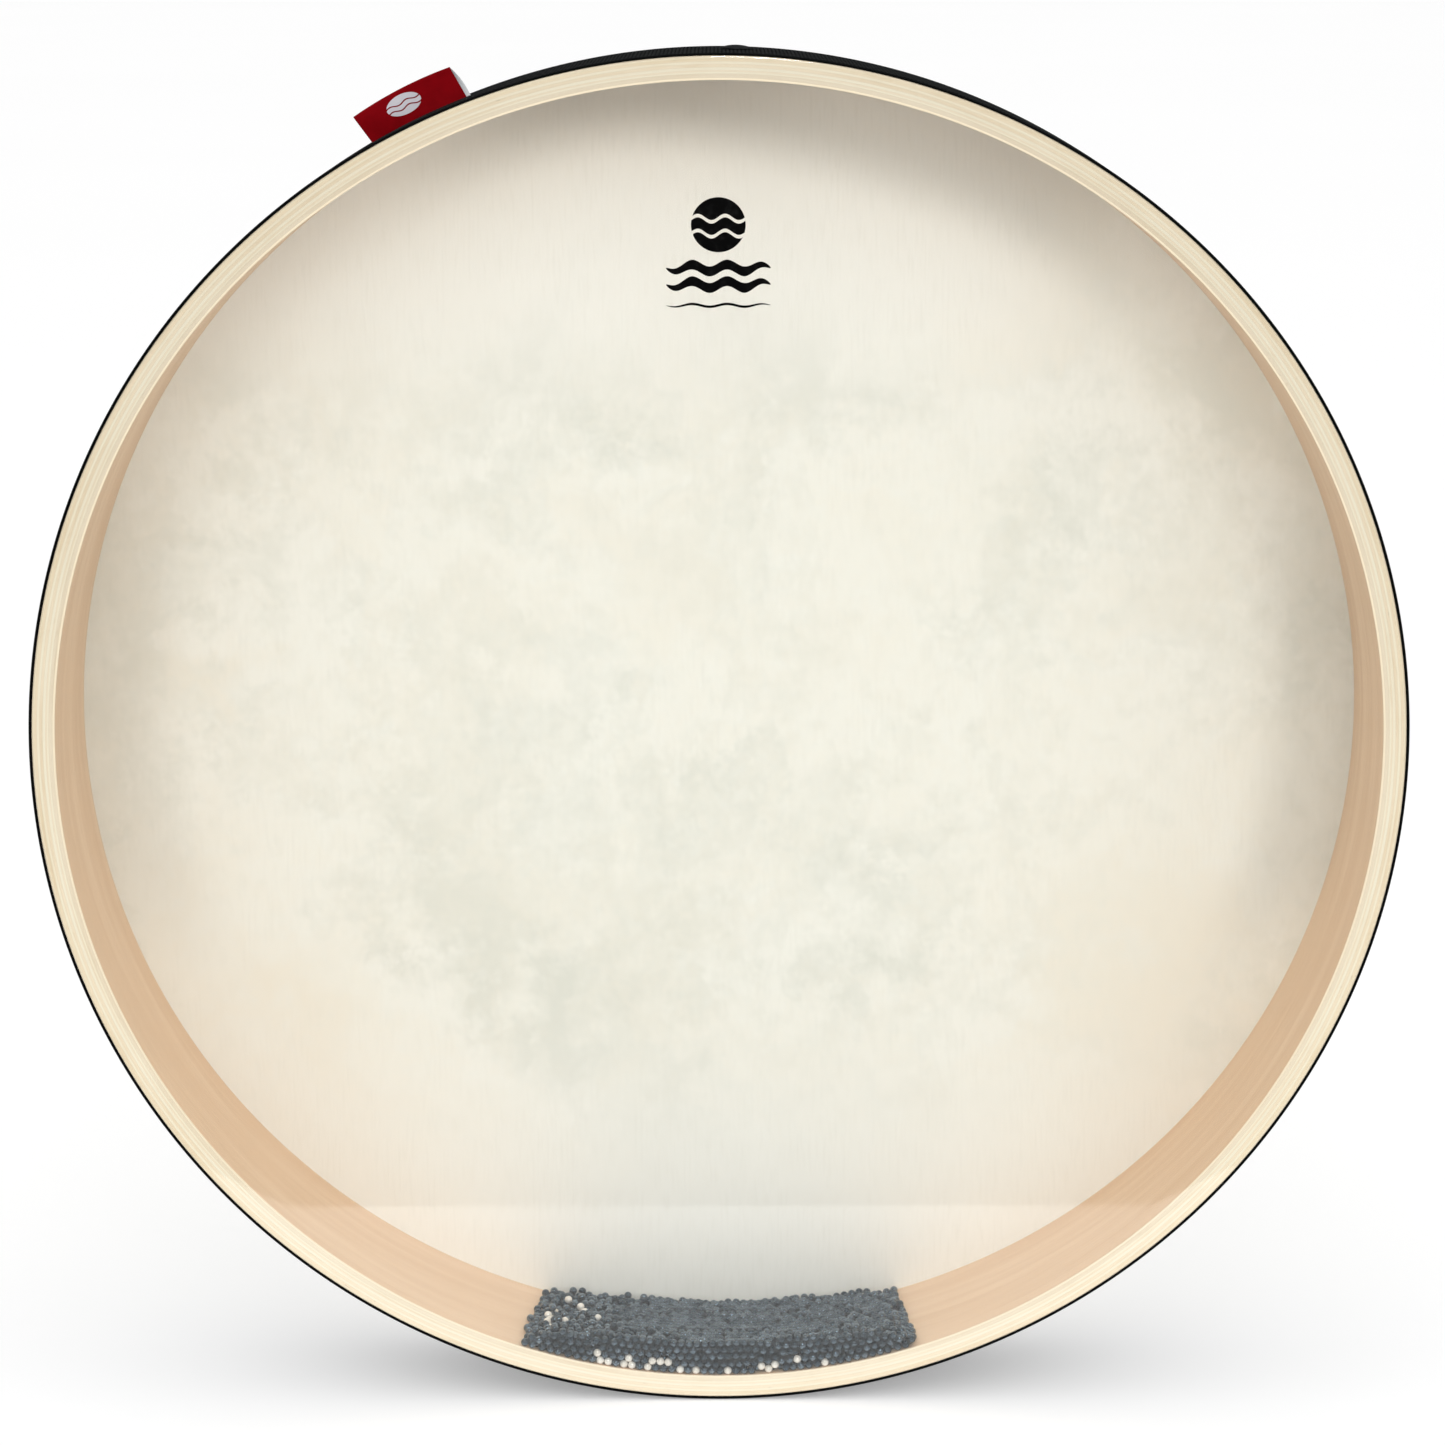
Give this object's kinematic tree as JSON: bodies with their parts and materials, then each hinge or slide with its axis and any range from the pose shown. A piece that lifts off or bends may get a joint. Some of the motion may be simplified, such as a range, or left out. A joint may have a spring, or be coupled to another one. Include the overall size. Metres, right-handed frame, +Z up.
{
  "type": "ocean drum",
  "caption": "Round frame drum closed on both sides, a clear film on the front and a skin on the back of a bent wooden hoop, with loose steel shot that rolls round inside.",
  "frame": {"origin": "centre of the hoop on the drum's axis, half way between film and skin", "axes": "+Y along the drum's axis from the clear film at the front to the skin at the back, +Z up with the filler plug near the top and the shot lying at the bottom, +X to the right as seen from the front"},
  "size_m": [0.5004, 0.0622, 0.5018],
  "materials": {
    "veneer_light": "satin",
    "veneer_dark": "satin",
    "veneer_face": "satin",
    "clear_film": "gloss",
    "skin": "matte",
    "ribbed_tape": "matte",
    "label_cloth": "matte",
    "plug_plastic": "satin",
    "steel_shot": "polished"
  },
  "bodies": {
    "drum": {"ply_1_outer": "veneer_light", "ply_2": "veneer_dark", "ply_3": "veneer_light", "ply_4": "veneer_dark", "ply_5": "veneer_light", "ply_6": "veneer_dark", "ply_7": "veneer_light", "ply_8": "veneer_dark", "ply_9_inner": "veneer_face", "film_head": "clear_film", "film_lap": "clear_film", "skin_head": "skin", "skin_lap": "skin", "rim_tape": "ribbed_tape", "label": "label_cloth"},
    "shot": {"shot_bed": "steel_shot", "stray_shot": "steel_shot"},
    "plug": {"filler_plug": "plug_plastic"}
  },
  "joints": [
    {"name": "shot_roll", "type": "hinge", "parent": "drum", "child": "shot", "pos_m": [0, 0, 0], "axis": [0, 1, 0], "continuous": true},
    {"name": "plug_pull", "type": "slide", "parent": "drum", "child": "plug", "axis": [0.0262, 0, 0.9997], "range_m": [0, 0.012]}
  ]
}
